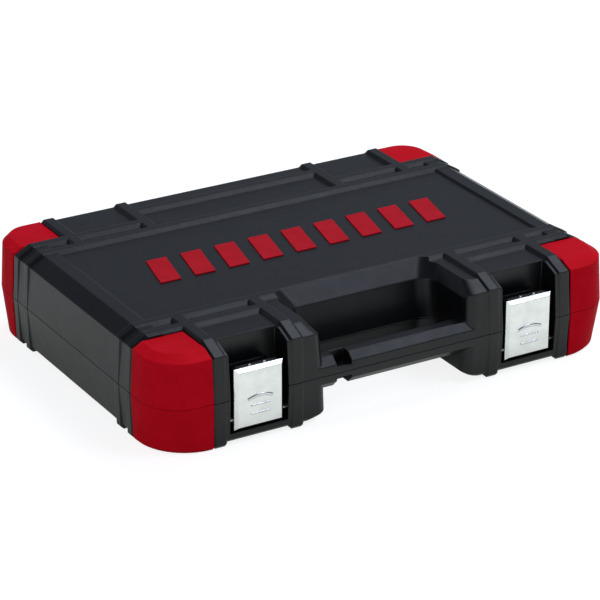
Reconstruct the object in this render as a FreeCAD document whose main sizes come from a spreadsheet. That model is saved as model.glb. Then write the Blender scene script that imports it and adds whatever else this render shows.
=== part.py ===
"""Socket wrench set in a moulded carrying case, as separate parts in one frame.

Millimetres, +Z up. The handle faces -Y, the hinges are at +Y, and the origin is under the
middle of the case. The lid is modelled shut.
"""
import FreeCAD
import Part
import Sketcher
import math
import os

Vector = FreeCAD.Vector
Rotation = FreeCAD.Rotation

SIZES = {
    # Case outline, seam and corners
    "case_width": 390.0,
    "case_depth": 284.6,
    "case_height": 78.2,
    "seam_height": 36.6,
    "seam_gap": 0.3,
    "corner_radius": 32.0,
    "foot_corner_spread": 10.0,
    "lid_draft": 2.0,
    "base_draft": 1.0,
    "lid_front_run": 17.5,
    "lid_side_run": 12.0,
    "lid_back_run": 8.0,
    "lid_bevel_rise": 7.0,
    "base_bevel_run": 2.4,
    "base_bevel_rise": 2.4,
    "wall": 3.0,
    # Raised ribs, the panels between them and the sunk panel on top
    "rib_height": 2.6,
    "panel_drop": 1.0,
    "rim_drop": 0.2,
    "rail_width": 6.2,
    "inner_rail_y": 75.0,
    "outer_rail_y": 92.0,
    "back_rail_setback": 27.8,
    "side_border_width": 26.0,
    "post_width": 8.0,
    "inner_post_setback": 111.0,
    "outer_post_setback": 48.4,
    # Corner bumpers
    "bumper_length_x": 42.5,
    "bumper_length_y": 44.8,
    "bumper_wall": 4.3,
    "bumper_gap": 0.3,
    # Carrying handle and its finger opening
    "shoulder_width": 23.5,
    "scoop_side_lean": 1.6,
    "scoop_side_slope": 7.8,
    "scoop_foot_lean": -2.0,
    "scoop_back_seam": 92.0,
    "scoop_back_middle": 84.8,
    "scoop_back_top": 74.0,
    "scoop_back_foot": 88.0,
    "scoop_slope_height": 12.3,
    "foot_slope_height": 9.0,
    "foot_side_slope": 12.0,
    "scoop_radius": 13.0,
    "mouth_radius": 8.0,
    "mouth_gap": 0.05,
    "grip_depth": 20.8,
    "grip_half_height": 12.0,
    "grip_chamfer": 5.6,
    "padlock_x": 45.3,
    "padlock_width": 12.5,
    "padlock_depth": 8.0,
    "padlock_setback": 5.3,
    "padlock_lip": 4.0,
    # Latches
    "bay_width": 47.5,
    "bay_depth": 17.3,
    "lid_bay_depth": 20.3,
    "bay_foot": 9.2,
    "plate_width": 40.0,
    "plate_foot": 10.6,
    "plate_top": 58.2,
    "plate_thick": 1.2,
    "plate_bend": 2.6,
    "plate_setback": 0.1,
    "plate_side_slope": 2.5,
    "plate_top_slope": 2.8,
    "hook_depth": 7.2,
    "hook_drop": 5.5,
    "hook_width": 34.0,
    "prong_radius": 1.1,
    "prong_height": 1.0,
    "prong_spacing": 12.0,
    "lift_radius": 23.8,
    "lift_half_width": 10.0,
    "lift_crown": 35.6,
    "bead_radius": 1.4,
    "bead_sink": 0.7,
    "lift_rib_half_width": 7.7,
    "lift_rib_upper": 28.6,
    "lift_rib_lower": 22.0,
    "lift_rib_radius": 0.7,
    "ear_depth": 7.0,
    "ear_height": 8.0,
    "latch_pin_setback": 5.8,
    "latch_pin_height": 18.2,
    "latch_pin_radius": 1.5,
    "latch_pin_seat": 3.0,
    "strike_width": 32.0,
    "strike_reach": 12.4,
    "strike_foot": 48.8,
    "strike_height": 5.0,
    "running_fit": 0.06,
    # Hinges
    "hinge_setback": 4.0,
    "knuckle_radius": 4.0,
    "hinge_pin_radius": 1.5,
    "hinge_pin_length": 43.0,
    "lid_knuckle_width": 17.0,
    "base_knuckle_width": 11.0,
    "knuckle_gap": 0.5,
    "hinge_bay_depth": 11.3,
    "hinge_bay_height": 18.0,
    "hinge_relief": 0.4,
    # Raised stripes on the lid panel
    "stripe_first_x": -127.0,
    "stripe_pitch": 29.0,
    "stripe_width": 17.0,
    "stripe_slant": 9.0,
    "stripe_y": 4.5,
    "stripe_length": 41.0,
    "stripe_height": 0.8,
    # Tool tray and lid pad
    "tray_gap": 2.7,
    "tray_top": 25.0,
    "tray_radius": 4.0,
    "tray_floor": 3.2,
    "tray_split_y": 40.0,
    "tray_split_gap": 0.4,
    "bit_tray_width": 99.0,
    "pocket_gap": 0.4,
    "pad_gap": 10.0,
    "pad_thick": 21.7,
    "pad_radius": 12.0,
    "bin_wall": 4.5,
    "bin_y": 12.0,
    "bin_depth": 44.0,
    # Sockets
    "socket_wall": 2.6,
    "socket_flare": 1.16,
    "small_socket_height": 27.0,
    "large_socket_height": 32.0,
    "hex_share": 0.55,
    "small_row_y": 54.0,
    "large_row_y": 97.0,
    "drive_square": 9.5,
    "drive_gap": 0.2,
    "drive_wall": 1.3,
    # Ratchet
    "ratchet_setback": 41.0,
    "ratchet_y": 8.0,
    "ratchet_foot": 23.5,
    "head_radius": 17.5,
    "head_height": 17.0,
    "head_wall": 2.6,
    "neck_width": 12.0,
    "neck_height": 11.0,
    "neck_length": 72.0,
    "grip_radius": 11.0,
    "grip_length": 108.0,
    "gear_radius": 10.5,
    "gear_gap": 0.4,
    "gear_hub_radius": 8.0,
    "drive_length": 11.0,
    "pawl_length": 3.8,
    "pawl_width": 9.0,
    "cover_thick": 2.0,
    "cover_gap": 0.15,
    "lever_setback": 10.2,
    "lever_hub_radius": 3.4,
    "lever_stem_radius": 1.6,
    "lever_reach": 11.0,
    "lever_width": 4.6,
    "lever_thick": 2.6,
    "button_radius": 3.6,
    "button_stroke": 1.6,
    "button_height": 2.4,
    "ball_radius": 1.7,
    "screw_radius": 1.6,
    "screw_offset": 11.2,
    # Extension bars
    "bar_radius": 6.0,
    "bar_head_radius": 8.6,
    "bar_head_length": 20.0,
    "bar_height": 30.0,
    "bar_y": -36.0,
    "bar_setback": 19.0,
    "long_bar_length": 200.0,
    "short_bar_length": 80.0,
}
SMALL_SOCKETS = (8, 9, 10, 11, 12, 13, 14, 15)
LARGE_SOCKETS = (16, 17, 18, 19, 21, 22, 24)
STRIPE_COUNT = 9
GEAR_SQUARES = 6
HEX_SIDES = 6
HEX_CORNER = 1 / math.sqrt(3)
SQUARE_SIDES = 4
FAR = 30.0
NEAR = 1e-3
SIDES = {"left": -1, "right": 1}
ENDS = {"front": -1, "back": 1}

doc = FreeCAD.newDocument("SocketSet")
sheet = doc.addObject("Spreadsheet::Sheet", "Dims")
for row, (alias, number) in enumerate(SIZES.items(), 1):
    sheet.set(f"A{row}", alias)
    sheet.set(f"B{row}", str(number))
    sheet.setAlias(f"B{row}", alias)
doc.recompute()


class Size:
    """A length with its present value and the sheet formula that drives it."""

    def __init__(self, value, text):
        self.value = value
        self.text = text

    def __add__(self, other):
        other = as_size(other)
        return Size(self.value + other.value, f"({self.text} + {other.text})")

    def __sub__(self, other):
        other = as_size(other)
        return Size(self.value - other.value, f"({self.text} - {other.text})")

    def __mul__(self, factor):
        factor = as_size(factor)
        return Size(self.value * factor.value, f"({self.text} * {factor.text})")

    def __truediv__(self, factor):
        factor = as_size(factor)
        return Size(self.value / factor.value, f"({self.text} / {factor.text})")

    def __radd__(self, other):
        return as_size(other) + self

    def __rsub__(self, other):
        return as_size(other) - self

    __rmul__ = __mul__

    def __neg__(self):
        return as_size(0.0) - self


def as_size(number):
    return number if isinstance(number, Size) else Size(float(number), f"({float(number)!r})")


def dim(alias):
    return Size(sheet.get(alias), f"Dims.{alias}")


def bind(thing, **sizes):
    for prop, size in sizes.items():
        thing.setExpression(prop, as_size(size).text)
    return thing


def place(thing, x, y, z, turn=Rotation()):
    spot = [as_size(size) for size in (x, y, z)]
    thing.Placement = FreeCAD.Placement(Vector(*[size.value for size in spot]), turn)
    for axis, size in zip("xyz", spot):
        thing.setExpression(f"Placement.Base.{axis}", size.text)
    return thing


def box(x, y, z):
    """Block between the two sizes of each pair."""
    (x0, x1), (y0, y1), (z0, z1) = [[as_size(size) for size in pair] for pair in (x, y, z)]
    block = doc.addObject("Part::Box", "Block")
    bind(block, Length=x1 - x0, Width=y1 - y0, Height=z1 - z0)
    return place(block, x0, y0, z0)


def slab(x, y, z, x_top, y_top):
    """Block whose x and y ranges change evenly from its lower to its upper z."""
    block = doc.addObject("Part::Wedge", "Taper")
    bind(block, Xmin=x[0], Xmax=x[1], X2min=x_top[0], X2max=x_top[1], Ymin=z[0], Ymax=z[1])
    bind(block, Zmin=-as_size(y[1]), Zmax=-as_size(y[0]))
    bind(block, Z2min=-as_size(y_top[1]), Z2max=-as_size(y_top[0]))
    block.Placement.Rotation = Rotation(Vector(1, 0, 0), 90)
    return block


TURNS = {"z": Rotation(), "x": Rotation(Vector(0, 1, 0), 90), "y": Rotation(Vector(1, 0, 0), -90)}


def rod(axis, radius, length, x, y, z):
    """Cylinder that starts at the point and runs along the axis."""
    return place(bind(doc.addObject("Part::Cylinder", "Rod"), Radius=radius, Height=length),
                 x, y, z, TURNS[axis])


def prism(sides, corner_radius, length, x, y, z, angle=0.0):
    shape = doc.addObject("Part::Prism", "Prism")
    shape.Polygon = sides
    bind(shape, Circumradius=corner_radius, Height=length)
    return place(shape, x, y, z, Rotation(Vector(0, 0, 1), angle))


def square_rod(axis, side, length, x, y, z):
    """Square bar centred on the point's axis line."""
    half = side / 2
    if axis == "x":
        return box((x, x + length), (y - half, y + half), (z - half, z + half))
    return box((x - half, x + half), (y - half, y + half), (z, z + length))


def section(x, y, z, radius):
    """Rounded rectangle in a level plane, driven by its four sides and corner radius."""
    (x0, x1), (y0, y1) = [[as_size(size) for size in pair] for pair in (x, y)]
    radius = as_size(radius)
    left, right, low, high = x0.value, x1.value, y0.value, y1.value
    turn = radius.value
    sketch = doc.addObject("Sketcher::SketchObject", "Section")
    up, quarter = Vector(0, 0, 1), math.pi / 2
    corners = ((right, low), (right, high), (left, high), (left, low))
    starts = ((left + turn, low), (right, low + turn), (right - turn, high), (left, high - turn))
    ends = ((right - turn, low), (right, high - turn), (left + turn, high), (left, low + turn))
    for start, end in zip(starts, ends):
        sketch.addGeometry(Part.LineSegment(Vector(*start, 0), Vector(*end, 0)))
    for index, (cx, cy) in enumerate(corners):
        centre = Vector(cx - math.copysign(turn, cx - (left + right) / 2),
                        cy - math.copysign(turn, cy - (low + high) / 2), 0)
        first = (index - 1) * quarter
        sketch.addGeometry(Part.ArcOfCircle(Part.Circle(centre, up, turn), first, first + quarter))
    for side in range(4):
        arc = 4 + side
        sketch.addConstraint(Sketcher.Constraint("Tangent", side, 2, arc, 1))
        sketch.addConstraint(Sketcher.Constraint("Tangent", arc, 2, (side + 1) % 4, 1))
        sketch.addConstraint(Sketcher.Constraint("Vertical" if side % 2 else "Horizontal", side))
    for arc in range(5, 8):
        sketch.addConstraint(Sketcher.Constraint("Equal", 4, arc))
    driven = {
        "radius": (Sketcher.Constraint("Radius", 4, turn), radius),
        "low": (Sketcher.Constraint("DistanceY", -1, 1, 0, 1, low), y0),
        "right": (Sketcher.Constraint("DistanceX", -1, 1, 1, 1, right), x1),
        "high": (Sketcher.Constraint("DistanceY", -1, 1, 2, 1, high), y1),
        "left": (Sketcher.Constraint("DistanceX", -1, 1, 3, 1, left), x0),
    }
    for name, (constraint, size) in driven.items():
        index = sketch.addConstraint(constraint)
        sketch.renameConstraint(index, name)
        sketch.setExpression(f"Constraints.{name}", size.text)
    return place(sketch, 0, 0, z)


def loft(*sections):
    """Solid with straight sides through level rounded rectangles."""
    solid = doc.addObject("Part::Loft", "Loft")
    solid.Sections = list(sections)
    solid.Solid = True
    solid.Ruled = True
    return solid


def fuse(*pieces):
    joined = doc.addObject("Part::MultiFuse", "Joined")
    joined.Shapes = list(pieces)
    joined.Refine = True
    return joined


def cut(body, *tools):
    rest = doc.addObject("Part::Cut", "Rest")
    rest.Base = body
    rest.Tool = tools[0] if len(tools) == 1 else fuse(*tools)
    rest.Refine = True
    return rest


def common(first, second):
    shared = doc.addObject("Part::Common", "Shared")
    shared.Base = first
    shared.Tool = second
    return shared


def bevelled(blank, axis, lines, size, keep_z, keep_y=None):
    """Slope the outer edges that lie in the blank's two side planes across the axis."""
    doc.recompute()
    chosen = []
    for index, edge in enumerate(blank.Shape.Edges, 1):
        ends = [vertex.Point for vertex in edge.Vertexes]
        level = [getattr(end, axis) for end in ends]
        in_plane = any(all(abs(at - line.value) < NEAR for at in level) for line in lines)
        on_seam = all(abs(end.z - keep_z.value) < NEAR for end in ends)
        on_back = keep_y is not None and all(abs(end.y - keep_y.value) < NEAR for end in ends)
        if in_plane and not on_seam and not on_back:
            chosen.append((index, size.value, size.value))
    sloped = doc.addObject("Part::Chamfer", "Sloped")
    sloped.Base = blank
    sloped.Edges = chosen
    return sloped


half_width = dim("case_width") / 2
half_depth = dim("case_depth") / 2
height = dim("case_height")
seam = dim("seam_height")
rib = dim("rib_height")
panel = dim("panel_drop")
seat = rib + dim("bumper_wall")
inside = seat + dim("wall")
inner_post_x = half_width - dim("inner_post_setback")
outer_post_x = half_width - dim("outer_post_setback")
latch_x = (inner_post_x + outer_post_x) / 2
scoop_half = inner_post_x - dim("shoulder_width")
HALVES = {
    "lid": {"sign": 1, "rim": seam + dim("seam_gap") / 2, "end": height,
            "draft": dim("lid_draft"), "rise": dim("lid_bevel_rise"), "spread": as_size(0),
            "runs": (dim("lid_side_run"), dim("lid_front_run"), dim("lid_back_run"))},
    "base": {"sign": -1, "rim": seam - dim("seam_gap") / 2, "end": as_size(0),
             "draft": dim("base_draft"), "rise": dim("base_bevel_rise"), "spread": dim("foot_corner_spread"),
             "runs": (dim("base_bevel_run"), dim("base_bevel_run"), dim("base_bevel_run"))},
}


def shell_level(half, inset, rim_inset, end_inset):
    """Drafted, bevelled and rounded block of one case half, inset from the rib tops."""
    end = half["end"] - half["sign"] * end_inset
    still = (as_size(0), as_size(0), as_size(0))
    steps = ((half["rim"], rim_inset, as_size(0), still),
             (end - half["sign"] * half["rise"], inset + half["draft"], half["spread"], still),
             (end, inset + half["draft"], half["spread"], half["runs"]))
    sections = []
    for z, shrink, spread, (side_run, front_run, back_run) in steps:
        x = half_width - shrink - side_run
        y = (front_run + shrink - half_depth, half_depth - shrink - back_run)
        sections.append(section((-x, x), y, z, dim("corner_radius") + spread - shrink - front_run))
    return loft(*sections)


for case_half in HALVES.values():
    case_half["outside"] = shell_level(case_half, as_size(0), as_size(0), as_size(0))
    case_half["seat"] = shell_level(case_half, seat, seat, seat)


def span(half, far):
    """The two z limits from the rim of a case half to a height beyond its end."""
    return (half["rim"], far) if half["sign"] > 0 else (far, half["rim"])


def cross_rail(half, blank, y):
    """Rib that runs across the case and down both ends."""
    reach = dim("rail_width") / 2 + rib
    lines = (y - reach, y + reach)
    far = half["end"] + half["sign"] * FAR
    piece = common(blank, box((-half_width - FAR, half_width + FAR), lines, span(half, far)))
    return bevelled(piece, "y", lines, rib, half["rim"])


def post(half, blank, x, end):
    """Rib from the inner rail over the front or back edge and down the wall."""
    reach = dim("post_width") / 2 + rib
    lines = (x - reach, x + reach)
    start = dim("inner_rail_y") * end
    y = (start, half_depth + FAR) if end > 0 else (-half_depth - FAR, start)
    far = half["end"] + half["sign"] * FAR
    piece = common(blank, box(lines, y, span(half, far)))
    return bevelled(piece, "x", lines, rib, half["rim"], start)


def ribs(half):
    """All raised ribs of one case half."""
    outside = half["outside"]
    outer = dim("outer_rail_y")
    pieces = []
    for end in ENDS.values():
        pieces.append(cross_rail(half, outside, dim("inner_rail_y") * end))
        rail = cross_rail(half, outside, outer * end)
        reach = dim("rail_width") / 2 + rib
        gap = box((-inner_post_x, inner_post_x), (outer * end - reach, outer * end + reach),
                  (-FAR, height + FAR))
        pieces.append(cut(rail, gap))
        for side in SIDES.values():
            for x in (inner_post_x, outer_post_x):
                pieces.append(post(half, outside, x * side, end))
    return pieces


def sunk_panel():
    """Room above the sunk middle of the lid, which leaves a raised border at each side."""
    slope = rib - panel
    edge = half_width - dim("side_border_width")
    y = (-half_depth - FAR, half_depth + FAR)
    return slab((slope - edge, edge - slope), y, (height - rib, height), (-edge - panel, edge + panel), y)


def back_rail():
    """Rib on the lid between the inner posts, along its back edge."""
    middle, width = half_depth - dim("back_rail_setback"), dim("rail_width") / 2
    x = (-inner_post_x, inner_post_x)
    wide = (middle - width - rib, middle + width + rib)
    flat = height - rib
    return fuse(box(x, wide, (flat - dim("wall"), flat)),
                slab(x, wide, (flat, height), x, (middle - width, middle + width)))


def core(half):
    """Case half without its ribs."""
    if half["sign"] < 0:
        return shell_level(half, panel, dim("rim_drop"), rib)
    return fuse(cut(shell_level(half, panel, dim("rim_drop"), panel), sunk_panel()), back_rail())


def corner_box(half, side, end, gap, far):
    """Room of one corner, from the rim of a case half to a height."""
    x = half_width - dim("bumper_length_x") - gap
    y = half_depth - dim("bumper_length_y") - gap
    x_range = (x, half_width + FAR) if side > 0 else (-half_width - FAR, -x)
    y_range = (y, half_depth + FAR) if end > 0 else (-half_depth - FAR, -y)
    return box(x_range, y_range, span(half, far))


def hinge_relief():
    """Groove along the back at the seam that lets the lid swing past the base."""
    half = dim("hinge_bay_height") / 2
    axis_y = half_depth - dim("hinge_setback")
    return box((-half_width - FAR, half_width + FAR),
               (axis_y - dim("hinge_relief"), half_depth + FAR), (seam - half, seam + half))


def bays(half):
    """Latch bays at the front and hinge bays at the back of one case half."""
    edge = dim("bay_width") / 2
    depth = dim("lid_bay_depth") if half["sign"] > 0 else dim("bay_depth")
    far = height + FAR if half["sign"] > 0 else dim("bay_foot")
    tall = dim("hinge_bay_height") / 2
    tools = []
    for side in SIDES.values():
        x = latch_x * side
        tools.append(box((x - edge, x + edge), (-half_depth - FAR, depth - half_depth),
                         span(half, far)))
        tools.append(box((x - edge, x + edge), (half_depth - dim("hinge_bay_depth"), half_depth + FAR),
                         (seam - tall, seam + tall)))
    return tools


def slope_between(low, high, z):
    """Linear change of a size with height, from its values at two heights."""
    (z_low, at_low), (z_high, at_high) = low, high
    return at_low + (at_high - at_low) * ((z - z_low) / (z_high - z_low))


def front_wall(half):
    """Height and y of the front panel at the rim and where its bevel starts."""
    level = panel if half["sign"] > 0 else rib
    bevel_z = half["end"] - half["sign"] * (half["rise"] + level)
    return ((half["rim"], dim("rim_drop") - half_depth), (bevel_z, panel + half["draft"] - half_depth))


def mouth_corner(side, levels):
    """Waste outside the rounded front corner beside the finger opening."""
    radius = dim("mouth_radius")
    keep, waste = [], []
    for z, edge, front in levels:
        near, far = edge, edge + FAR
        x = (near, far) if side > 0 else (-far, -near)
        keep.append(section(x, (front, front + 2 * FAR), z, radius))
        spare = (near - radius, near + radius) if side > 0 else (-near - radius, radius - near)
        waste.append(section(spare, (front - FAR, front + radius), z, radius / 4))
    return cut(loft(*waste), loft(*keep))


def scoop(half):
    """Finger opening behind the carrying handle, wider at its end, with rounded front corners."""
    front = -half_depth - FAR
    radius = dim("scoop_radius")
    rim, sign, end = half["rim"], half["sign"], half["end"]
    at_rim, at_bevel = [(z, y - dim("mouth_gap")) for z, y in front_wall(half)]
    far = end + sign * rib
    at_seam = (rim, scoop_half, -dim("scoop_back_seam"))
    if sign > 0:
        slope_z, lean, widening = height - dim("scoop_slope_height"), "scoop_side_lean", "scoop_side_slope"
        back_slope, back_end = -dim("scoop_back_middle"), -dim("scoop_back_top")
        bevel_end = (height - panel, panel + half["draft"] + dim("lid_front_run") - half_depth)
    else:
        slope_z, lean, widening = dim("foot_slope_height"), "scoop_foot_lean", "foot_side_slope"
        back_slope = back_end = -dim("scoop_back_foot")
        bevel_end = (rib, panel + half["draft"] + dim("base_bevel_run") - half_depth)
    at_slope = (slope_z, scoop_half + dim(lean), back_slope)
    at_end = (end, scoop_half + dim(lean) + dim(widening), back_end)
    groups = ((rim, at_seam, at_slope, at_rim, at_bevel),
              (slope_z - sign * rib, at_slope, at_end, at_bevel, bevel_end))
    tools = []
    for start, (low_z, *low), (high_z, *high), mouth_low, mouth_high in groups:
        levels = []
        for z in (start, far):
            edge, back = [slope_between((low_z, first), (high_z, last), z) for first, last in zip(low, high)]
            levels.append((z, edge, back, slope_between(mouth_low, mouth_high, z)))
        tools.append(loft(*[section((-edge, edge), (front, back), z, radius)
                            for z, edge, back, _ in levels]))
        for side in SIDES.values():
            tools.append(mouth_corner(side, [(z, edge, mouth) for z, edge, _, mouth in levels]))
    return tools


def handle(half):
    """Half of the grip bar, level with the shoulders beside it, with sloping long edges."""
    ends = scoop_half + dim("mouth_radius")
    chamfer = dim("grip_chamfer")
    rim, sign = half["rim"], half["sign"]
    shoulder = seam + sign * (dim("grip_half_height") - chamfer)
    top = seam + sign * dim("grip_half_height")
    front_rim, front_shoulder = [slope_between(*front_wall(half), z) + dim("mouth_gap")
                                 for z in (rim, shoulder)]
    back = dim("grip_depth") - half_depth
    x = (-ends, ends)
    at_seam = (front_rim, back)
    at_shoulder = (front_shoulder, back)
    at_top = (front_shoulder + chamfer, back - chamfer)
    if sign > 0:
        return [slab(x, at_seam, (rim, shoulder), x, at_shoulder),
                slab(x, at_shoulder, (shoulder, top), x, at_top)]
    return [slab(x, at_shoulder, (shoulder, rim), x, at_seam),
            slab(x, at_top, (top, shoulder), x, at_shoulder)]


def padlock_slot(half):
    """Hole for a padlock near the left end of the handle, open to the front above and below."""
    x = -dim("padlock_x")
    width = dim("padlock_width") / 2
    front = dim("padlock_setback") - half_depth
    lip = seam + half["sign"] * dim("padlock_lip")
    far = half["end"] + half["sign"] * FAR
    notch = (lip, far) if half["sign"] > 0 else (far, lip)
    return [box((x - width, x + width), (front, front + dim("padlock_depth")), span(half, far)),
            box((x - width, x + width), (-half_depth - FAR, front + dim("padlock_depth")), notch)]


def cavity(half):
    """Hollow of one case half, clear of the handle, the latch bays and the hinge bays."""
    keep = dim("wall")
    hollow = shell_level(half, inside, inside, inside)
    handle_half = scoop_half + dim("scoop_side_lean") + 2 * keep
    tall = (-FAR, height + FAR)
    tools = [box((-handle_half, handle_half), (-half_depth - FAR, 2 * keep - dim("scoop_back_middle")),
                 tall)]
    edge = dim("bay_width") / 2 + keep
    depth = dim("lid_bay_depth") if half["sign"] > 0 else dim("bay_depth")
    for side in SIDES.values():
        x = latch_x * side
        tools.append(box((x - edge, x + edge), (-half_depth - FAR, depth + keep - half_depth), tall))
        tools.append(box((x - edge, x + edge),
                         (half_depth - dim("hinge_bay_depth") - keep, half_depth + FAR), tall))
    return cut(hollow, *tools)


def knuckle(half, start, width):
    """Hinge barrel with the web that carries it, along X from its start."""
    axis_y = half_depth - dim("hinge_setback")
    radius = dim("knuckle_radius")
    sign = half["sign"]
    web = (half["rim"], seam + radius) if sign > 0 else (seam - radius, half["rim"])
    return [rod("x", radius, width, start, axis_y, seam),
            box((start, start + width), (half_depth - dim("hinge_bay_depth") - dim("wall"), axis_y), web)]


def hinge_spans(half):
    """Start and width of each barrel of one case half at the right-hand hinge, from its middle."""
    lid_width, base_width = dim("lid_knuckle_width"), dim("base_knuckle_width")
    if half["sign"] > 0:
        return [(-lid_width / 2, lid_width)]
    gap = dim("knuckle_gap")
    return [(lid_width / 2 + gap, base_width), (-lid_width / 2 - gap - base_width, base_width)]


def shell(half):
    """One moulded half of the case with its ribs, bays, handle half and hinge barrels."""
    far = half["end"] + half["sign"] * FAR
    corners = [corner_box(half, side, end, dim("bumper_gap"), far)
               for side in SIDES.values() for end in ENDS.values()]
    ribbed = fuse(core(half), *ribs(half))
    block = fuse(cut(ribbed, *corners), half["seat"])
    opened = cut(block, *scoop(half), hinge_relief(), *bays(half))
    extras = handle(half)
    holes = padlock_slot(half) + [cavity(half)]
    pin = dim("hinge_pin_radius")
    axis_y = half_depth - dim("hinge_setback")
    for side in SIDES.values():
        x = latch_x * side
        for start, width in hinge_spans(half):
            extras += knuckle(half, x + start, width)
        reach = dim("hinge_pin_length") / 2
        bore = pin + dim("running_fit") if half["sign"] > 0 else pin
        holes.append(rod("x", bore, 2 * reach, x - reach, axis_y, seam))
        if half["sign"] > 0:
            strike = dim("strike_width") / 2
            wall_y = dim("lid_bay_depth") - half_depth
            extras.append(box((x - strike, x + strike),
                              (wall_y - dim("strike_reach"), wall_y + dim("wall")),
                              (dim("strike_foot"), dim("strike_foot") + dim("strike_height"))))
        else:
            holes.append(latch_pin(side))
    return cut(fuse(opened, *extras), *holes)


def bumper(half, side, end):
    """Red corner guard of one case half, level with the ribs beside it and lower on top."""
    far = half["end"] - rib if half["sign"] > 0 else half["end"]
    guard = common(half["outside"], corner_box(half, side, end, as_size(0), far))
    tools = [half["seat"]]
    if end > 0:
        tools.append(hinge_relief())
    return cut(guard, *tools)


def latch_pin(side):
    reach = dim("bay_width") / 2 + dim("latch_pin_seat")
    x = latch_x * side
    return rod("x", dim("latch_pin_radius"), 2 * reach, x - reach,
               dim("latch_pin_setback") - half_depth, dim("latch_pin_height"))


def lift_mark(x, front):
    """Pressed finger mark on a latch: an arched bead over two straight ribs."""
    sink = front + dim("bead_sink")
    arch = doc.addObject("Part::Torus", "Arch")
    half_angle = math.degrees(math.asin(dim("lift_half_width").value / dim("lift_radius").value))
    bind(arch, Radius1=dim("lift_radius"), Radius2=dim("bead_radius"))
    arch.Angle3 = 2 * half_angle
    upright = Rotation(Vector(1, 0, 0), 90) * Rotation(Vector(0, 0, 1), 90 - half_angle)
    place(arch, x, sink, dim("lift_crown") - dim("lift_radius"), upright)
    reach = dim("lift_rib_half_width")
    bars = [rod("x", dim("lift_rib_radius"), 2 * reach, x - reach, front, dim(level))
            for level in ("lift_rib_upper", "lift_rib_lower")]
    return [arch, *bars]


def pan(x, z, front, back):
    """Pressed plate that is smaller in front than at the back."""
    side, top = dim("plate_side_slope"), dim("plate_top_slope")
    plate = doc.addObject("Part::Wedge", "Pan")
    bind(plate, Xmin=x[0] + side, Xmax=x[1] - side, X2min=x[0], X2max=x[1], Ymin=front, Ymax=back)
    return bind(plate, Zmin=z[0] + side, Zmax=z[1] - top, Z2min=z[0], Z2max=z[1])


def latch_plate(side):
    """Pressed steel latch with a hooked top edge, a finger mark and two ears on its pin."""
    x = latch_x * side
    edge = dim("plate_width") / 2
    thick = dim("plate_thick")
    front = dim("plate_setback") - half_depth
    back = front + dim("plate_bend")
    top = dim("plate_top")
    hook = dim("hook_width") / 2
    pin_y = dim("latch_pin_setback") - half_depth
    pin_z = dim("latch_pin_height")
    ear = dim("ear_height") / 2
    hook_back = front + dim("hook_depth")
    pieces = [pan((x - edge, x + edge), (dim("plate_foot"), top), front, back),
              box((x - edge, x + edge), (back, back + thick), (dim("plate_foot"), top)),
              box((x - hook, x + hook), (back, hook_back), (top - thick, top)),
              box((x - hook, x + hook), (hook_back - thick, hook_back), (top - dim("hook_drop"), top)),
              *lift_mark(x, front)]
    for offset in SIDES.values():
        pieces.append(rod("z", dim("prong_radius"), thick + dim("prong_height"),
                          x + dim("prong_spacing") / 2 * offset, hook_back - 2 * thick, top - thick))
    for start in (x - edge, x + edge - thick):
        pieces.append(box((start, start + thick), (back, front + dim("ear_depth") + thick),
                          (pin_z - ear, pin_z + ear)))
    bore = rod("x", dim("latch_pin_radius") + dim("running_fit"), 2 * edge + 2 * FAR,
               x - edge - FAR, pin_y, pin_z)
    return cut(fuse(*pieces), bore)


def hinge_pin(side):
    reach = dim("hinge_pin_length") / 2
    return rod("x", dim("hinge_pin_radius"), 2 * reach, latch_x * side - reach,
               half_depth - dim("hinge_setback"), seam)


def stripes():
    """Row of plain slanted bars on the lid panel."""
    top = height - rib
    bars = []
    for index in range(STRIPE_COUNT):
        x = dim("stripe_first_x") + index * dim("stripe_pitch")
        lean = dim("stripe_slant")
        width = dim("stripe_width")
        y = dim("stripe_y")
        reach = dim("stripe_length") / 2
        bar = doc.addObject("Part::Wedge", "Bar")
        bind(bar, Xmin=x, Xmax=x + width, X2min=x + lean, X2max=x + lean + width)
        bind(bar, Ymin=y - reach, Ymax=y + reach, Zmin=top, Z2min=top)
        bind(bar, Zmax=top + dim("stripe_height"), Z2max=top + dim("stripe_height"))
        bars.append(bar)
    group = doc.addObject("Part::Compound", "Bars")
    group.Links = bars
    return group


tray_foot = inside
pocket_floor = tray_foot + dim("tray_floor")
tray_inset = inside + dim("base_draft") + dim("base_bevel_run") + dim("tray_gap")
tray_edge = half_width - tray_inset
tray_back = half_depth - tray_inset
tray_front = 2 * dim("wall") + dim("tray_gap") - dim("scoop_back_middle")
bit_tray_x = tray_edge - dim("bit_tray_width")


def socket_places():
    """Node name, drive size, row height and middle of each socket."""
    rows = ((SMALL_SOCKETS, dim("small_row_y"), dim("small_socket_height")),
            (LARGE_SOCKETS, dim("large_row_y"), dim("large_socket_height")))
    for sizes, y, tall in rows:
        pitch = 2 * tray_edge / (len(sizes) + 1)
        for index, across in enumerate(sizes, 1):
            yield f"socket_{round(across):02d}", across, tall, index * pitch - tray_edge, y


def socket_radius(across):
    return dim("socket_flare") * (across / 2) + dim("socket_wall")


def drive_end_radius(across):
    """Radius of a socket's lower end, which is wider on small sockets to leave a wall round the drive."""
    needed = (dim("drive_square") / 2 + dim("drive_gap")) * math.sqrt(2) + dim("drive_wall")
    return max(needed, socket_radius(across), key=lambda size: size.value)


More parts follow.
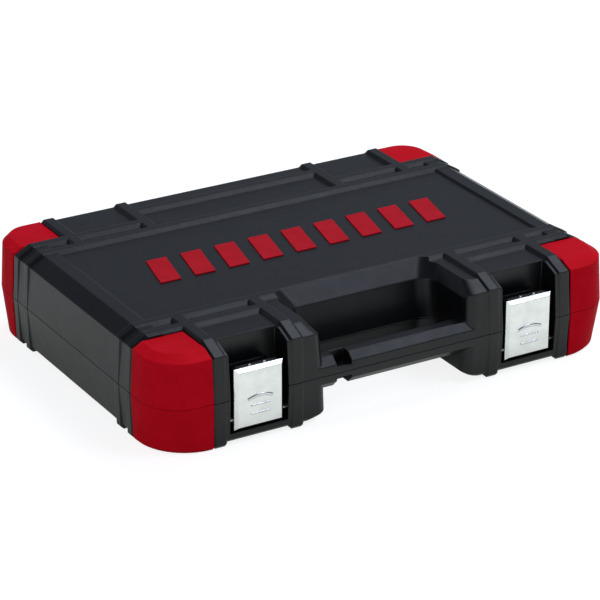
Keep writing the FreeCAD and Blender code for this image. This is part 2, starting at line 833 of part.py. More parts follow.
def socket(across, tall, x, y):
    """Hexagon socket that stands with its nut end up."""
    nut = dim("hex_share") * tall
    body = rod("z", socket_radius(across), tall, x, y, pocket_floor)
    drive_end = rod("z", drive_end_radius(across), tall - nut + dim("drive_wall"), x, y, pocket_floor)
    hexagon = prism(HEX_SIDES, as_size(across * HEX_CORNER), nut, x, y, pocket_floor + tall - nut)
    drive = square_rod("z", dim("drive_square") + 2 * dim("drive_gap"), tall - nut, x, y, pocket_floor)
    return cut(fuse(body, drive_end), hexagon, drive)


ratchet_x, ratchet_y = dim("ratchet_setback") - tray_edge, dim("ratchet_y")
head_foot = dim("ratchet_foot")
head_top = head_foot + dim("head_height")
cover_foot = head_top - dim("cover_thick")
gear_foot = head_foot + dim("head_wall")
gear_room = dim("gear_radius") + dim("gear_gap")
grip_x = ratchet_x + dim("neck_length")
neck_z = head_foot + dim("head_height") / 2
lever_x = ratchet_x + dim("lever_setback")


def neck_box():
    half_w, half_h = dim("neck_width") / 2, dim("neck_height") / 2
    return box((ratchet_x, grip_x + dim("grip_length") - dim("head_wall")),
               (ratchet_y - half_w, ratchet_y + half_w), (neck_z - half_h, neck_z + half_h))


def ratchet_pawl():
    start = ratchet_x + gear_room + dim("cover_gap")
    half = dim("pawl_width") / 2
    return box((start, start + dim("pawl_length")), (ratchet_y - half, ratchet_y + half),
               (gear_foot, cover_foot - dim("cover_gap")))


def pawl_pocket():
    """Room for the pawl, open to the gear well and to the cover."""
    gap = dim("cover_gap")
    half = dim("pawl_width") / 2 + gap
    end = ratchet_x + gear_room + dim("pawl_length") + 2 * gap
    return box((ratchet_x, end), (ratchet_y - half, ratchet_y + half), (gear_foot, cover_foot))


def ratchet_body():
    """Forged head and shank."""
    head = rod("z", dim("head_radius"), dim("head_height"), ratchet_x, ratchet_y, head_foot)
    gear_well = rod("z", gear_room, dim("head_height"), ratchet_x, ratchet_y, gear_foot)
    hub_hole = rod("z", dim("gear_hub_radius") + dim("running_fit"), dim("head_height"),
                   ratchet_x, ratchet_y, head_foot)
    cover_well = rod("z", dim("head_radius") - dim("head_wall") + dim("cover_gap"), dim("head_height"),
                     ratchet_x, ratchet_y, cover_foot)
    return cut(fuse(head, neck_box()), gear_well, hub_hole, cover_well, pawl_pocket())


def ratchet_grip():
    sleeve = rod("x", dim("grip_radius"), dim("grip_length"), grip_x, ratchet_y, neck_z)
    return cut(sleeve, neck_box())


def ratchet_gear():
    """Toothed drum with its drive square and the bore of the release button."""
    length = cover_foot - gear_foot - dim("cover_gap")
    squares = [prism(SQUARE_SIDES, dim("gear_radius"), length, ratchet_x, ratchet_y, gear_foot,
                     index * 360.0 / SQUARE_SIDES / GEAR_SQUARES)
               for index in range(GEAR_SQUARES)]
    hub = rod("z", dim("gear_hub_radius"), gear_foot - head_foot, ratchet_x, ratchet_y, head_foot)
    square = square_rod("z", dim("drive_square"), dim("drive_length"), ratchet_x, ratchet_y,
                        head_foot - dim("drive_length"))
    bore = rod("z", dim("button_radius") + dim("running_fit"), dim("button_stroke") + length,
               ratchet_x, ratchet_y, gear_foot - dim("button_stroke"))
    ball_seat = rod("y", dim("ball_radius") + dim("running_fit"), dim("drive_square"), ratchet_x, ratchet_y,
                    head_foot - dim("drive_length") / 2)
    return cut(fuse(*squares, hub, square), bore, ball_seat)


def ratchet_cover():
    disc = rod("z", dim("head_radius") - dim("head_wall"), dim("cover_thick"), ratchet_x, ratchet_y,
               cover_foot)
    button_hole = rod("z", dim("button_radius") + dim("cover_gap"), dim("cover_thick"),
                      ratchet_x, ratchet_y, cover_foot)
    stem_hole = rod("z", dim("lever_stem_radius") + dim("running_fit"), dim("cover_thick"),
                    lever_x, ratchet_y, cover_foot)
    screw_holes = [rod("z", dim("screw_radius"), dim("cover_thick"), ratchet_x,
                       ratchet_y + dim("screw_offset") * side, cover_foot) for side in SIDES.values()]
    return cut(disc, button_hole, stem_hole, *screw_holes)


def ratchet_screws():
    screws = [rod("z", dim("screw_radius"), dim("cover_thick"), ratchet_x,
                  ratchet_y + dim("screw_offset") * side, cover_foot) for side in SIDES.values()]
    group = doc.addObject("Part::Compound", "Screws")
    group.Links = screws
    return group


def ratchet_lever():
    """Direction lever on its stem."""
    foot = head_top + dim("cover_gap")
    half = dim("lever_width") / 2
    return fuse(rod("z", dim("lever_stem_radius"), foot - cover_foot, lever_x, ratchet_y, cover_foot),
                rod("z", dim("lever_hub_radius"), dim("lever_thick"), lever_x, ratchet_y, foot),
                box((lever_x, lever_x + dim("lever_reach")), (ratchet_y - half, ratchet_y + half),
                    (foot, foot + dim("lever_thick"))))


def ratchet_button():
    start = gear_foot + dim("cover_gap")
    return rod("z", dim("button_radius"), head_top + dim("button_height") - start, ratchet_x, ratchet_y,
               start)


def drive_ball():
    ball = bind(doc.addObject("Part::Sphere", "Ball"), Radius=dim("ball_radius"))
    proud = dim("drive_square") / 2 - dim("ball_radius") / 2
    return place(ball, ratchet_x, ratchet_y + proud, head_foot - dim("drive_length") / 2)


def extension(start, length):
    """Extension bar with a square at its far end and a square hole in its head."""
    y, z = dim("bar_y"), dim("bar_height")
    head = dim("bar_head_length")
    shank = rod("x", dim("bar_radius"), length - dim("drive_length"), start, y, z)
    tip = square_rod("x", dim("drive_square"), length, start, y, z)
    collar = rod("x", dim("bar_head_radius"), head, start, y, z)
    hole = square_rod("x", dim("drive_square") + 2 * dim("drive_gap"), head / 2, start, y, z)
    return cut(fuse(shank, tip, collar), hole)


def extension_pocket(start, length):
    gap = dim("pocket_gap") * 2
    y, z = dim("bar_y"), dim("bar_height")
    radius = dim("bar_head_radius") + gap
    shank = dim("bar_radius") + gap
    head = dim("bar_head_length") + gap
    top = dim("tray_top") + FAR
    return [box((start - gap, start + head), (y - radius, y + radius), (z - radius, top)),
            box((start, start + length + gap), (y - shank, y + shank), (z - dim("bar_radius"), top))]


def ratchet_pocket():
    gap = dim("pocket_gap") * 2
    top = dim("head_height") + FAR
    room = dim("grip_radius") + gap
    drive = dim("gear_hub_radius") + gap
    return [rod("z", dim("head_radius") + gap, top, ratchet_x, ratchet_y, head_foot),
            rod("z", drive, top, ratchet_x, ratchet_y, head_foot - dim("drive_length") - gap),
            box((ratchet_x, grip_x + dim("grip_length") + gap), (ratchet_y - room, ratchet_y + room),
                (neck_z - dim("grip_radius"), tray_foot + top))]


BARS = {"long": dim("bar_setback") - tray_edge,
        "short": tray_edge - dim("bar_setback") / 2 - dim("short_bar_length")}


def pockets():
    """Room of each tool in the trays, and of the open bin."""
    tools = [rod("z", drive_end_radius(across) + dim("pocket_gap"), tall, x, row_y, pocket_floor)
             for _, across, tall, x, row_y in socket_places()]
    tools += ratchet_pocket()
    for name, start in BARS.items():
        tools += extension_pocket(start, dim(f"{name}_bar_length"))
    wall, half = dim("bin_wall"), dim("bin_depth") / 2
    tools.append(box((bit_tray_x + wall, tray_edge - wall), (dim("bin_y") - half, dim("bin_y") + half),
                     (pocket_floor, height)))
    return tools


def tray(x, y):
    """Formed insert between the limits, clear of the rounded corners, with the pockets that fall in it."""
    outline = [section(x, y, z, dim("tray_radius")) for z in (tray_foot, dim("tray_top"))]
    clear = inside + dim("tray_gap") / 2
    room = shell_level(HALVES["base"], clear, clear, inside)
    return cut(common(loft(*outline), room), *pockets())


def lid_pad():
    """Foam pad under the roof of the lid that keeps the tools in their pockets."""
    clear = inside + dim("lid_draft") + dim("pad_gap")
    edge = half_width - clear - dim("lid_side_run")
    roof = height - inside
    y = (tray_front + dim("tray_gap"), half_depth - clear - dim("lid_back_run"))
    return loft(*[section((-edge, edge), y, z, dim("pad_radius"))
                  for z in (roof - dim("pad_thick"), roof)])


nodes = {}
for half_name, case_half in HALVES.items():
    nodes[f"{half_name}_shell"] = shell(case_half)
    for end_name, end_sign in ENDS.items():
        for side_name, side_sign in SIDES.items():
            nodes[f"{half_name}_bumper_{end_name}_{side_name}"] = bumper(case_half, side_sign, end_sign)
for side_name, side_sign in SIDES.items():
    nodes[f"latch_plate_{side_name}"] = latch_plate(side_sign)
    nodes[f"latch_pin_{side_name}"] = latch_pin(side_sign)
    nodes[f"hinge_pin_{side_name}"] = hinge_pin(side_sign)
nodes["lid_stripes"] = stripes()
nodes["lid_pad"] = lid_pad()
split, part = dim("tray_split_y"), dim("tray_split_gap")
nodes["socket_tray"] = tray((-tray_edge, tray_edge), (split, tray_back))
nodes["tool_tray"] = tray((-tray_edge, bit_tray_x - part), (tray_front, split - part))
nodes["bit_tray"] = tray((bit_tray_x, tray_edge), (tray_front, split - part))
for node, across_flats, tall_size, middle_x, middle_y in socket_places():
    nodes[node] = socket(across_flats, tall_size, middle_x, middle_y)
nodes["ratchet_body"] = ratchet_body()
nodes["ratchet_grip"] = ratchet_grip()
nodes["ratchet_gear"] = ratchet_gear()
nodes["ratchet_pawl"] = ratchet_pawl()
nodes["ratchet_cover"] = ratchet_cover()
nodes["ratchet_screws"] = ratchet_screws()
nodes["ratchet_lever"] = ratchet_lever()
nodes["ratchet_button"] = ratchet_button()
nodes["drive_ball"] = drive_ball()
for bar_name, bar_start in BARS.items():
    nodes[f"extension_{bar_name}"] = extension(bar_start, dim(f"{bar_name}_bar_length"))
for label, item in nodes.items():
    item.Label = label

doc.recompute()
failed = [item.Label for item in doc.Objects if "Invalid" in item.State or "Error" in item.State]
if failed:
    raise RuntimeError(f"objects failed: {failed}")
for label, item in nodes.items():
    if item.Shape.isNull() or not item.Shape.isValid() or not item.Shape.Solids:
        raise RuntimeError(f"bad shape: {label}")

os.makedirs("parts", exist_ok=True)
for label, item in nodes.items():
    item.Shape.exportStep(f"parts/{label}.step")
    box_size = item.Shape.BoundBox
    print(f"{label}: {len(item.Shape.Solids)} solids, {item.Shape.Volume:.0f} mm3, "
          f"{box_size.XLength:.1f} x {box_size.YLength:.1f} x {box_size.ZLength:.1f}")
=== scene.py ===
"""Looks of a socket wrench set in its moulded carrying case. Metres, +Z up, handle towards -Y."""
import math

import bmesh
import bpy
from mathutils import Matrix, Vector


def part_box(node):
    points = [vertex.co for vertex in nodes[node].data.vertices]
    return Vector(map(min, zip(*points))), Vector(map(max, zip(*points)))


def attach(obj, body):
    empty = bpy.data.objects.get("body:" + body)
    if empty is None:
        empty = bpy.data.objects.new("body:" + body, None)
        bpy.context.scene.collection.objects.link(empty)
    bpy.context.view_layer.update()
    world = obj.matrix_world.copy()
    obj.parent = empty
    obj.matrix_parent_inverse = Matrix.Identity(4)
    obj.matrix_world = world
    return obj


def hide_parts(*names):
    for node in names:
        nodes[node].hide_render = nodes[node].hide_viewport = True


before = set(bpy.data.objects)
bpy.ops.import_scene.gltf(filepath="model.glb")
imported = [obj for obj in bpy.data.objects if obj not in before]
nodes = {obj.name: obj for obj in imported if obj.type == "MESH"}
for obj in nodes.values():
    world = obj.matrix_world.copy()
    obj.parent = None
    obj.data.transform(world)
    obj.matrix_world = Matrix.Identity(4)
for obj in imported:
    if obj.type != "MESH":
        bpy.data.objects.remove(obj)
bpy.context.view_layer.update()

MM = 0.001
SHELLS = ("lid_shell", "base_shell")
BUMPERS = sorted(name for name in nodes if "_bumper_" in name)
TRAYS = ("socket_tray", "tool_tray", "bit_tray")
SOCKETS = sorted(name for name in nodes if name.startswith("socket_") and name not in TRAYS)
BARS = ("extension_long", "extension_short")


# Materials

EDGE_SAMPLES = 8


def colour(code):
    """Linear colour of an sRGB hex value."""
    parts = [int(code[at:at + 2], 16) / 255 for at in (1, 3, 5)]
    return [part / 12.92 if part <= 0.04045 else ((part + 0.055) / 1.055) ** 2.4 for part in parts] + [1.0]


def add(tree, kind, inputs=(), **settings):
    """Add a node, set its properties and give its inputs values or links."""
    made = tree.nodes.new(kind)
    for name, value in settings.items():
        setattr(made, name, value)
    for name, value in dict(inputs).items():
        if isinstance(value, bpy.types.NodeSocket):
            tree.links.new(value, made.inputs[name])
        else:
            made.inputs[name].default_value = value
    return made


def per(size_mm):
    """Texture scale at which one feature is this many millimetres."""
    return 1 / (size_mm * MM)


def blank_material(name):
    """Empty material, its node tree and the place on the piece that patterns read."""
    made = bpy.data.materials.new(name)
    made.use_nodes = True
    made.node_tree.nodes.clear()
    tree = made.node_tree
    return made, tree, add(tree, "ShaderNodeTexCoord").outputs["Object"]


def show(tree, shader):
    add(tree, "ShaderNodeOutputMaterial", {"Surface": shader.outputs[0]})


def mottled(tree, where, size_mm, dark, light):
    """Soft patches between two colours."""
    patches = add(tree, "ShaderNodeTexNoise", {"Vector": where, "Scale": per(size_mm), "Detail": 3.0})
    ramp = add(tree, "ShaderNodeValToRGB", {"Fac": patches.outputs["Fac"]})
    for element, position, tint in zip(ramp.color_ramp.elements, (0.35, 0.65), (dark, light)):
        element.position = position
        element.color = colour(tint)
    return ramp.outputs["Color"]


def moulded_plastic(name, dark, light, gloss, specular, grain_mm, grain_depth_mm, wave_depth_mm, edge_mm):
    """Moulded plastic: satin skin, gently uneven walls, soft edges and the fine grain of an eroded mould.

    The grain is drawn about twice as coarse as the real one, so that it shows.
    """
    wave_mm, rub_mm, patch_mm, rub_range = 34, 9, 12, 0.06
    made, tree, where = blank_material(name)
    wave = add(tree, "ShaderNodeTexNoise", {"Vector": where, "Scale": per(wave_mm), "Detail": 1.0})
    grain = add(tree, "ShaderNodeTexNoise", {"Vector": where, "Scale": per(grain_mm), "Detail": 2.0})
    edges = add(tree, "ShaderNodeBevel", {"Radius": edge_mm * MM}, samples=EDGE_SAMPLES)
    broad = add(tree, "ShaderNodeBump", {"Height": wave.outputs["Fac"], "Distance": wave_depth_mm * MM,
                                         "Strength": 1.0, "Normal": edges.outputs["Normal"]})
    fine = add(tree, "ShaderNodeBump", {"Height": grain.outputs["Fac"], "Distance": grain_depth_mm * MM,
                                        "Strength": 1.0, "Normal": broad.outputs["Normal"]})
    rub = add(tree, "ShaderNodeTexNoise", {"Vector": where, "Scale": per(rub_mm), "Detail": 4.0})
    sheen = add(tree, "ShaderNodeMapRange", {"Value": rub.outputs["Fac"], "To Min": gloss - rub_range,
                                             "To Max": gloss + rub_range})
    show(tree, add(tree, "ShaderNodeBsdfPrincipled", {
        "Base Color": mottled(tree, where, patch_mm, dark, light),
        "Roughness": sheen.outputs["Result"],
        "Specular IOR Level": specular,
        "Normal": fine.outputs["Normal"]}))
    return made


def plated_metal(name, dark, light, gloss, line_mm, line_depth_mm, stretch):
    """Plated steel: mirror-like, with broken edges and faint polishing lines along one axis."""
    edge_mm, rub_mm, patch_mm, rub_low, rub_high = 0.6, 7, 10, 0.04, 0.06
    made, tree, where = blank_material(name)
    along = add(tree, "ShaderNodeMapping", {"Vector": where, "Scale": stretch})
    lines = add(tree, "ShaderNodeTexNoise", {"Vector": along.outputs["Vector"], "Scale": per(line_mm),
                                             "Detail": 2.0})
    edges = add(tree, "ShaderNodeBevel", {"Radius": edge_mm * MM}, samples=EDGE_SAMPLES)
    bump = add(tree, "ShaderNodeBump", {"Height": lines.outputs["Fac"], "Distance": line_depth_mm * MM,
                                        "Strength": 1.0, "Normal": edges.outputs["Normal"]})
    rub = add(tree, "ShaderNodeTexNoise", {"Vector": where, "Scale": per(rub_mm), "Detail": 3.0})
    sheen = add(tree, "ShaderNodeMapRange", {"Value": rub.outputs["Fac"], "To Min": gloss - rub_low,
                                             "To Max": gloss + rub_high})
    show(tree, add(tree, "ShaderNodeBsdfPrincipled", {
        "Base Color": mottled(tree, where, patch_mm, dark, light),
        "Metallic": 1.0,
        "Roughness": sheen.outputs["Result"],
        "Normal": bump.outputs["Normal"]}))
    return made


def open_cell_foam(name, dark, light):
    """Polyurethane foam: dull, with cells a little larger than the real ones so that they show."""
    cell_mm, cell_depth_mm, patch_mm = 1.6, 0.5, 3
    made, tree, where = blank_material(name)
    cells = add(tree, "ShaderNodeTexVoronoi", {"Vector": where, "Scale": per(cell_mm)})
    bump = add(tree, "ShaderNodeBump", {"Height": cells.outputs["Distance"], "Distance": cell_depth_mm * MM,
                                        "Strength": 0.8})
    show(tree, add(tree, "ShaderNodeBsdfPrincipled", {
        "Base Color": mottled(tree, where, patch_mm, dark, light),
        "Roughness": 0.95,
        "Specular IOR Level": 0.2,
        "Normal": bump.outputs["Normal"]}))
    return made


# Blow-moulded shells: deep black with a satin sheen that brightens along the soft edges
black_case = moulded_plastic("black_polyethylene_moulded", "#090a0b", "#0d0e10", 0.33, 0.27,
                             grain_mm=1.1, grain_depth_mm=0.02, wave_depth_mm=0.10, edge_mm=1.6)
# Corner guards: full, even red with hardly any sheen
red_guard = moulded_plastic("red_polyethylene_moulded", "#dc0e1f", "#e41026", 0.56, 0.03,
                            grain_mm=1.1, grain_depth_mm=0.02, wave_depth_mm=0.08, edge_mm=1.4)
# Bars in the lid: a slightly deeper red, flat, with crisp edges
red_bar = moulded_plastic("red_polypropylene_inlay", "#c80a1e", "#d20e24", 0.55, 0.08,
                          grain_mm=0.8, grain_depth_mm=0.015, wave_depth_mm=0.02, edge_mm=0.4)
# Trays: thin formed sheet, duller and coarser than the shells
black_tray = moulded_plastic("black_polystyrene_formed", "#0e0f10", "#151617", 0.55, 0.4,
                             grain_mm=1.4, grain_depth_mm=0.05, wave_depth_mm=0.10, edge_mm=1.0)
# Grip: dull black that takes only a broad, weak highlight
black_rubber = moulded_plastic("black_rubber_moulded", "#0d0e0f", "#161718", 0.72, 0.3,
                               grain_mm=0.9, grain_depth_mm=0.05, wave_depth_mm=0.05, edge_mm=0.3)
# Direction lever: hard and slick, with a small clear highlight
black_lever = moulded_plastic("black_acetal_moulded", "#0c0c0d", "#131415", 0.3, 0.5,
                              grain_mm=0.8, grain_depth_mm=0.01, wave_depth_mm=0.02, edge_mm=0.4)
# Latch plates: warm white metal, slightly clouded, lines across the plate
bright_nickel = plated_metal("nickel_plated_steel", "#c2c3c1", "#cccdcb", 0.20,
                             line_mm=0.6, line_depth_mm=0.004, stretch=(0.03, 1, 1))
# Tools: cold bright chrome, lines along the sockets
satin_chrome = plated_metal("chrome_plated_vanadium_steel", "#c9ccd0", "#d9dcdf", 0.16,
                            line_mm=0.5, line_depth_mm=0.004, stretch=(1, 1, 0.05))
# Pins, screws and knurling: grey turned steel with a broken highlight
turned_steel = plated_metal("turned_steel", "#8c8e90", "#a3a5a7", 0.32,
                            line_mm=0.4, line_depth_mm=0.006, stretch=(0.05, 1, 1))
# Lid pad: charcoal foam that swallows light in its cells
foam = open_cell_foam("polyurethane_foam", "#1f2023", "#34363a")


def clothe(piece, material):
    piece.data.materials.clear()
    piece.data.materials.append(material)
    piece.data.shade_smooth()


# Finish of the CAD pieces

FINISHES = (
    (black_case, SHELLS),
    (red_guard, BUMPERS),
    (red_bar, ("lid_stripes",)),
    (black_tray, TRAYS),
    (bright_nickel, ("latch_plate_left", "latch_plate_right")),
    (satin_chrome, (*SOCKETS, *BARS, "ratchet_body", "ratchet_cover", "ratchet_button")),
    (black_lever, ("ratchet_lever",)),
    (turned_steel, ("latch_pin_left", "latch_pin_right", "hinge_pin_left", "hinge_pin_right", "ratchet_gear",
                    "ratchet_pawl", "ratchet_screws", "drive_ball")),
)
for finish, names in FINISHES:
    for name in names:
        clothe(nodes[name], finish)


# Pieces added to the CAD nodes

CREASE = math.radians(35)


def add_piece(name, shape, material, body):
    """Make an object of a finished bmesh and let it move with a body."""
    bmesh.ops.recalc_face_normals(shape, faces=shape.faces)
    mesh = bpy.data.meshes.new(name)
    shape.to_mesh(mesh)
    shape.free()
    piece = bpy.data.objects.new(name, mesh)
    bpy.context.collection.objects.link(piece)
    clothe(piece, material)
    piece.data.set_sharp_from_angle(angle=CREASE)
    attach(piece, body)
    return piece


def node_box(name):
    """Middle and half size of a CAD node."""
    low, high = (Vector(corner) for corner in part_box(name))
    return (low + high) / 2, (high - low) / 2


def rounded_corner(point, half, radius):
    """Draw a point of a rectangle's corner square into the quarter disc of that radius."""
    inner = half - Vector((radius, radius))
    over = [max(abs(at) - line, 0.0) / radius for at, line in zip(point, inner)]
    if not all(over):
        return point
    reach = (over[0] * math.sqrt(1 - over[1] ** 2 / 2), over[1] * math.sqrt(1 - over[0] ** 2 / 2))
    return Vector([math.copysign(line + share * radius, at) for at, line, share in zip(point, inner, reach)])


def foam_pad():
    """Convoluted foam on the roof of the lid: flat above, waves below, sides drawn in between its edges."""
    waves, cell, depth, corner, draw, wall_cuts = (12, 7), 2.6 * MM, 11 * MM, 12 * MM, 1.8 * MM, 5
    middle, half = node_box("lid_pad")
    flat = half.xy
    cells = [round(2 * side / cell) for side in flat]
    shape = bmesh.new()
    bmesh.ops.create_grid(shape, x_segments=cells[0], y_segments=cells[1], size=1)
    lower = shape.verts[:]
    for vert in lower:
        spot = rounded_corner(Vector((vert.co.x * flat.x, vert.co.y * flat.y)), flat, corner)
        wave = math.cos(math.pi * waves[0] * vert.co.x) * math.cos(math.pi * waves[1] * vert.co.y)
        vert.co = (*spot, depth * (1 - wave) / 2 - half.z)
    sheet = bmesh.ops.extrude_face_region(shape, geom=shape.faces[:], use_keep_orig=True)["geom"]
    upper = {item for item in sheet if isinstance(item, bmesh.types.BMVert)}
    for vert in upper:
        vert.co.z = half.z
    ends = upper.union(lower)
    posts = [edge for edge in shape.edges if (edge.verts[0] in upper) != (edge.verts[1] in upper)]
    bmesh.ops.subdivide_edges(shape, edges=posts, cuts=wall_cuts)
    for vert in shape.verts:
        if vert not in ends:
            share = (vert.co.z + half.z) / (2 * half.z)
            pull = draw * math.sin(math.pi * share)
            vert.co.x *= 1 - pull / flat.x
            vert.co.y *= 1 - pull / flat.y
    bmesh.ops.translate(shape, verts=shape.verts, vec=middle)
    pad = add_piece("lid_foam", shape, foam, "lid")
    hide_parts("lid_pad")


def ribbed_grip():
    """Moulded sleeve with domed ends and two groups of finger grooves."""
    groove, pitch, grooves, margin = 1.1 * MM, 6.5 * MM, 4, 12 * MM
    waist, dome = 1.2 * MM, 3.0 * MM
    stations, turns = 240, 64
    middle, half = node_box("ratchet_grip")
    length = 2 * half.x
    shape = bmesh.new()
    profile = [shape.verts.new((-half.x, 0, 0))]
    for index in range(stations + 1):
        along = length * index / stations
        end = min(along, length - along)
        size = half.y - waist * math.sin(math.pi * along / length) ** 2
        if end < dome:
            size -= dome * (1 - math.sqrt(1 - (1 - end / dome) ** 2))
        if margin < end < margin + grooves * pitch:
            size -= groove * (0.5 - 0.5 * math.cos(2 * math.pi * (end - margin) / pitch)) ** 2
        profile.append(shape.verts.new((along - half.x, 0, size)))
    profile.append(shape.verts.new((half.x, 0, 0)))
    line = [shape.edges.new(pair) for pair in zip(profile, profile[1:])]
    bmesh.ops.spin(shape, geom=profile + line, cent=(0, 0, 0), axis=(1, 0, 0), angle=2 * math.pi, steps=turns,
                   use_merge=True)
    bmesh.ops.remove_doubles(shape, verts=shape.verts, dist=0.001 * MM)
    bmesh.ops.translate(shape, verts=shape.verts, vec=middle)
    sleeve = add_piece("grip_sleeve", shape, black_rubber, "base")
    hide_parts("ratchet_grip")


def knurled_band(name, radius, width, middle, axis):
    """Band of straight knurling round a turned piece, centred on a point of its axis."""
    proud, sunk, pitch, crest = 0.22 * MM, 0.5 * MM, 1.1 * MM, 0.8
    teeth = round(2 * math.pi * radius / pitch)
    loops = ((radius - sunk, -1), (radius, -1), (radius + proud, -crest), (radius + proud, crest),
             (radius, 1), (radius - sunk, 1))
    shape = bmesh.new()
    rings = []
    for size, end in loops:
        made = bmesh.ops.create_circle(shape, segments=2 * teeth, radius=size)["verts"]
        for index, vert in enumerate(made):
            if size > radius and index % 2:
                vert.co *= radius / size
            vert.co.z = end * width / 2
        rings.append(sorted({edge for vert in made for edge in vert.link_edges}, key=lambda edge: edge.index))
    for first, second in zip(rings, rings[1:] + rings[:1]):
        bmesh.ops.bridge_loops(shape, edges=first + second)
    turn = Vector((0, 0, 1)).rotation_difference(Vector(axis)).to_matrix().to_4x4()
    bmesh.ops.transform(shape, matrix=Matrix.Translation(middle) @ turn, verts=shape.verts)
    add_piece(name, shape, turned_steel, "base")


def knurling():
    """Bands on the sockets, a little above their middles, and on the heads of the bars."""
    socket_band, bar_band, bar_inset = 5 * MM, 11 * MM, 10 * MM
    lift, rim = 0.15, 0.9
    for socket in SOCKETS:
        middle, half = node_box(socket)
        nut_end = [vert.co for vert in nodes[socket].data.vertices if vert.co.z > middle.z + rim * half.z]
        radius = max((point - middle).xy.length for point in nut_end)
        place = middle + Vector((0, 0, lift * half.z))
        knurled_band(f"knurl_{socket}", radius, socket_band, place, (0, 0, 1))
    for bar in BARS:
        middle, half = node_box(bar)
        place = middle - Vector((half.x - bar_inset, 0, 0))
        knurled_band(f"knurl_{bar}", half.y, bar_band, place, (1, 0, 0))


foam_pad()
ribbed_grip()
knurling()


# Studio

def studio_floor():
    """Pale floor that shows white and keeps a soft shadow; its glow, as reflections see it, has painted shade
    close to the case, painted light that is brighter in front and darker towards the back, and a faint
    painted green tint.
    """
    side, drop, shade_reach = 40, 0.2 * MM, 140 * MM
    front, back, front_level, back_level = -180 * MM, -60 * MM, 1.3, 0.74
    shade_low, shade_high, plain_level = 0.2, 0.92, 0.84
    bpy.ops.mesh.primitive_plane_add(size=side)
    floor = bpy.context.object
    floor.name = "floor"
    floor.location.z = -drop
    made, tree, where = blank_material("pale_floor")
    rays = add(tree, "ShaderNodeLightPath").outputs
    # Painted shade: ambient occlusion darkens the floor's glow where the case stands close, and only
    # reflections see that glow
    near = add(tree, "ShaderNodeAmbientOcclusion", {"Distance": shade_reach}, samples=8)
    painted_contact_shade = add(tree, "ShaderNodeMapRange", {"Value": near.outputs["AO"], "To Min": shade_low,
                                              "To Max": shade_high})
    # Painted light: the floor's glow is brighter in front of the case and darker towards the back
    depth = add(tree, "ShaderNodeSeparateXYZ", {"Vector": where}).outputs["Y"]
    painted_falloff = add(tree, "ShaderNodeMapRange", {"Value": depth, "From Min": front, "From Max": back,
                                            "To Min": front_level, "To Max": back_level})
    level = add(tree, "ShaderNodeMath", {0: painted_contact_shade.outputs["Result"], 1: painted_falloff.outputs["Result"]},
                operation="MULTIPLY")
    # Only glossy rays see this painted shade and painted light, so it shows as a painted reflection in the
    # case's walls
    mirrored = add(tree, "ShaderNodeMath", {0: rays["Is Glossy Ray"], 1: level.outputs[0]},
                   operation="MULTIPLY")
    direct = add(tree, "ShaderNodeMath", {0: rays["Is Camera Ray"], 1: rays["Is Transmission Ray"]},
                 operation="MAXIMUM")
    plain = add(tree, "ShaderNodeMath", {0: direct.outputs[0], 1: plain_level}, operation="MULTIPLY")
    glow = add(tree, "ShaderNodeMath", {0: plain.outputs[0], 1: mirrored.outputs[0]}, operation="ADD")
    # Painted reflection: the glow turns faintly green for glossy rays only, so the black walls that mirror
    # the floor take a greenish cast
    painted_reflection_tint = add(tree, "ShaderNodeValToRGB", {"Fac": rays["Is Glossy Ray"]})
    for element, tint in zip(painted_reflection_tint.color_ramp.elements, ("#ffffff", "#f7fdf9")):
        element.color = colour(tint)
    white = add(tree, "ShaderNodeEmission", {"Color": painted_reflection_tint.outputs["Color"], "Strength": glow.outputs[0]})
    matt = add(tree, "ShaderNodeBsdfDiffuse", {"Color": colour("#a8a8a8")})
    show(tree, add(tree, "ShaderNodeAddShader", {0: matt.outputs[0], 1: white.outputs[0]}))
    floor.data.materials.append(made)


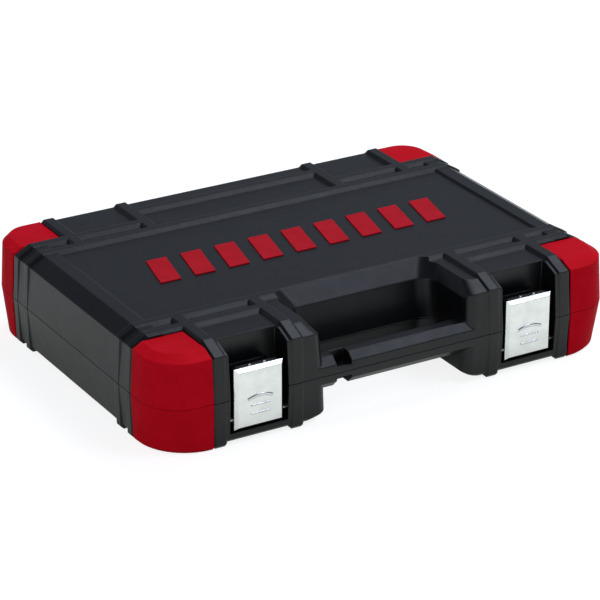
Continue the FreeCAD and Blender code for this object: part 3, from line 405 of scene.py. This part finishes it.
def studio_world():
    """Pale horizon under a dim, faintly blue ceiling."""
    stops = ((0.0, "#c4c6ca"), (0.1, "#9ea4ae"), (0.42, "#9299a9"), (0.62, "#70767f"))
    world = bpy.data.worlds.new("studio")
    bpy.context.scene.world = world
    world.use_nodes = True
    tree = world.node_tree
    tree.nodes.clear()
    where = add(tree, "ShaderNodeTexCoord").outputs["Generated"]
    up = add(tree, "ShaderNodeSeparateXYZ", {"Vector": where}).outputs["Z"]
    ramp = add(tree, "ShaderNodeValToRGB", {"Fac": up})
    elements = ramp.color_ramp.elements
    while len(elements) < len(stops):
        elements.new(1.0)
    for element, (position, tint) in zip(elements, stops):
        element.position = position
        element.color = colour(tint)
    light = add(tree, "ShaderNodeBackground", {"Color": ramp.outputs["Color"], "Strength": 1.0})
    add(tree, "ShaderNodeOutputWorld", {"Surface": light.outputs[0]})


def soft_lamp(name, place, aim, size, power, tint="#ffffff"):
    data = bpy.data.lights.new(name, "AREA")
    data.shape = "RECTANGLE"
    data.size, data.size_y = size
    data.energy = power
    data.color = colour(tint)[:3]
    lamp = bpy.data.objects.new(name, data)
    bpy.context.collection.objects.link(lamp)
    lamp.location = place
    lamp.rotation_euler = (Vector(aim) - Vector(place)).to_track_quat("-Z", "Y").to_euler()


def camera():
    """View of the photograph: a long lens from the front left and above."""
    azimuth, elevation = math.radians(-30.43), math.radians(24.18)
    target = Vector((0.8, 0.0, 27.2)) * MM
    distance = 2194 * MM
    focal_px, image_px, sensor_mm, far = 2866, 600, 36.0, 100
    back = Vector((math.sin(azimuth) * math.cos(elevation), -math.cos(azimuth) * math.cos(elevation),
                   math.sin(elevation)))
    data = bpy.data.cameras.new("camera")
    data.sensor_width = sensor_mm
    data.lens = focal_px / image_px * sensor_mm
    data.clip_end = far
    view = bpy.data.objects.new("camera", data)
    bpy.context.collection.objects.link(view)
    view.location = target + back * distance
    view.rotation_euler = (-back).to_track_quat("-Z", "Y").to_euler()
    bpy.context.scene.camera = view


bpy.context.scene.view_settings.view_transform = "Standard"
studio_floor()
studio_world()
soft_lamp("ceiling_softbox", place=(0.9, 0.5, 1.85), aim=(0.05, 0, 0), size=(1.3, 1.1), power=15,
          tint="#e8effc")
soft_lamp("front_softbox", place=(1.0, -0.9, 1.75), aim=(0, 0, 0), size=(0.8, 0.7), power=10,
          tint="#e4ecff")
soft_lamp("left_fill", place=(-2.0, -1.3, 1.0), aim=(0, 0, 0.03), size=(1.4, 1.0), power=8)
camera()
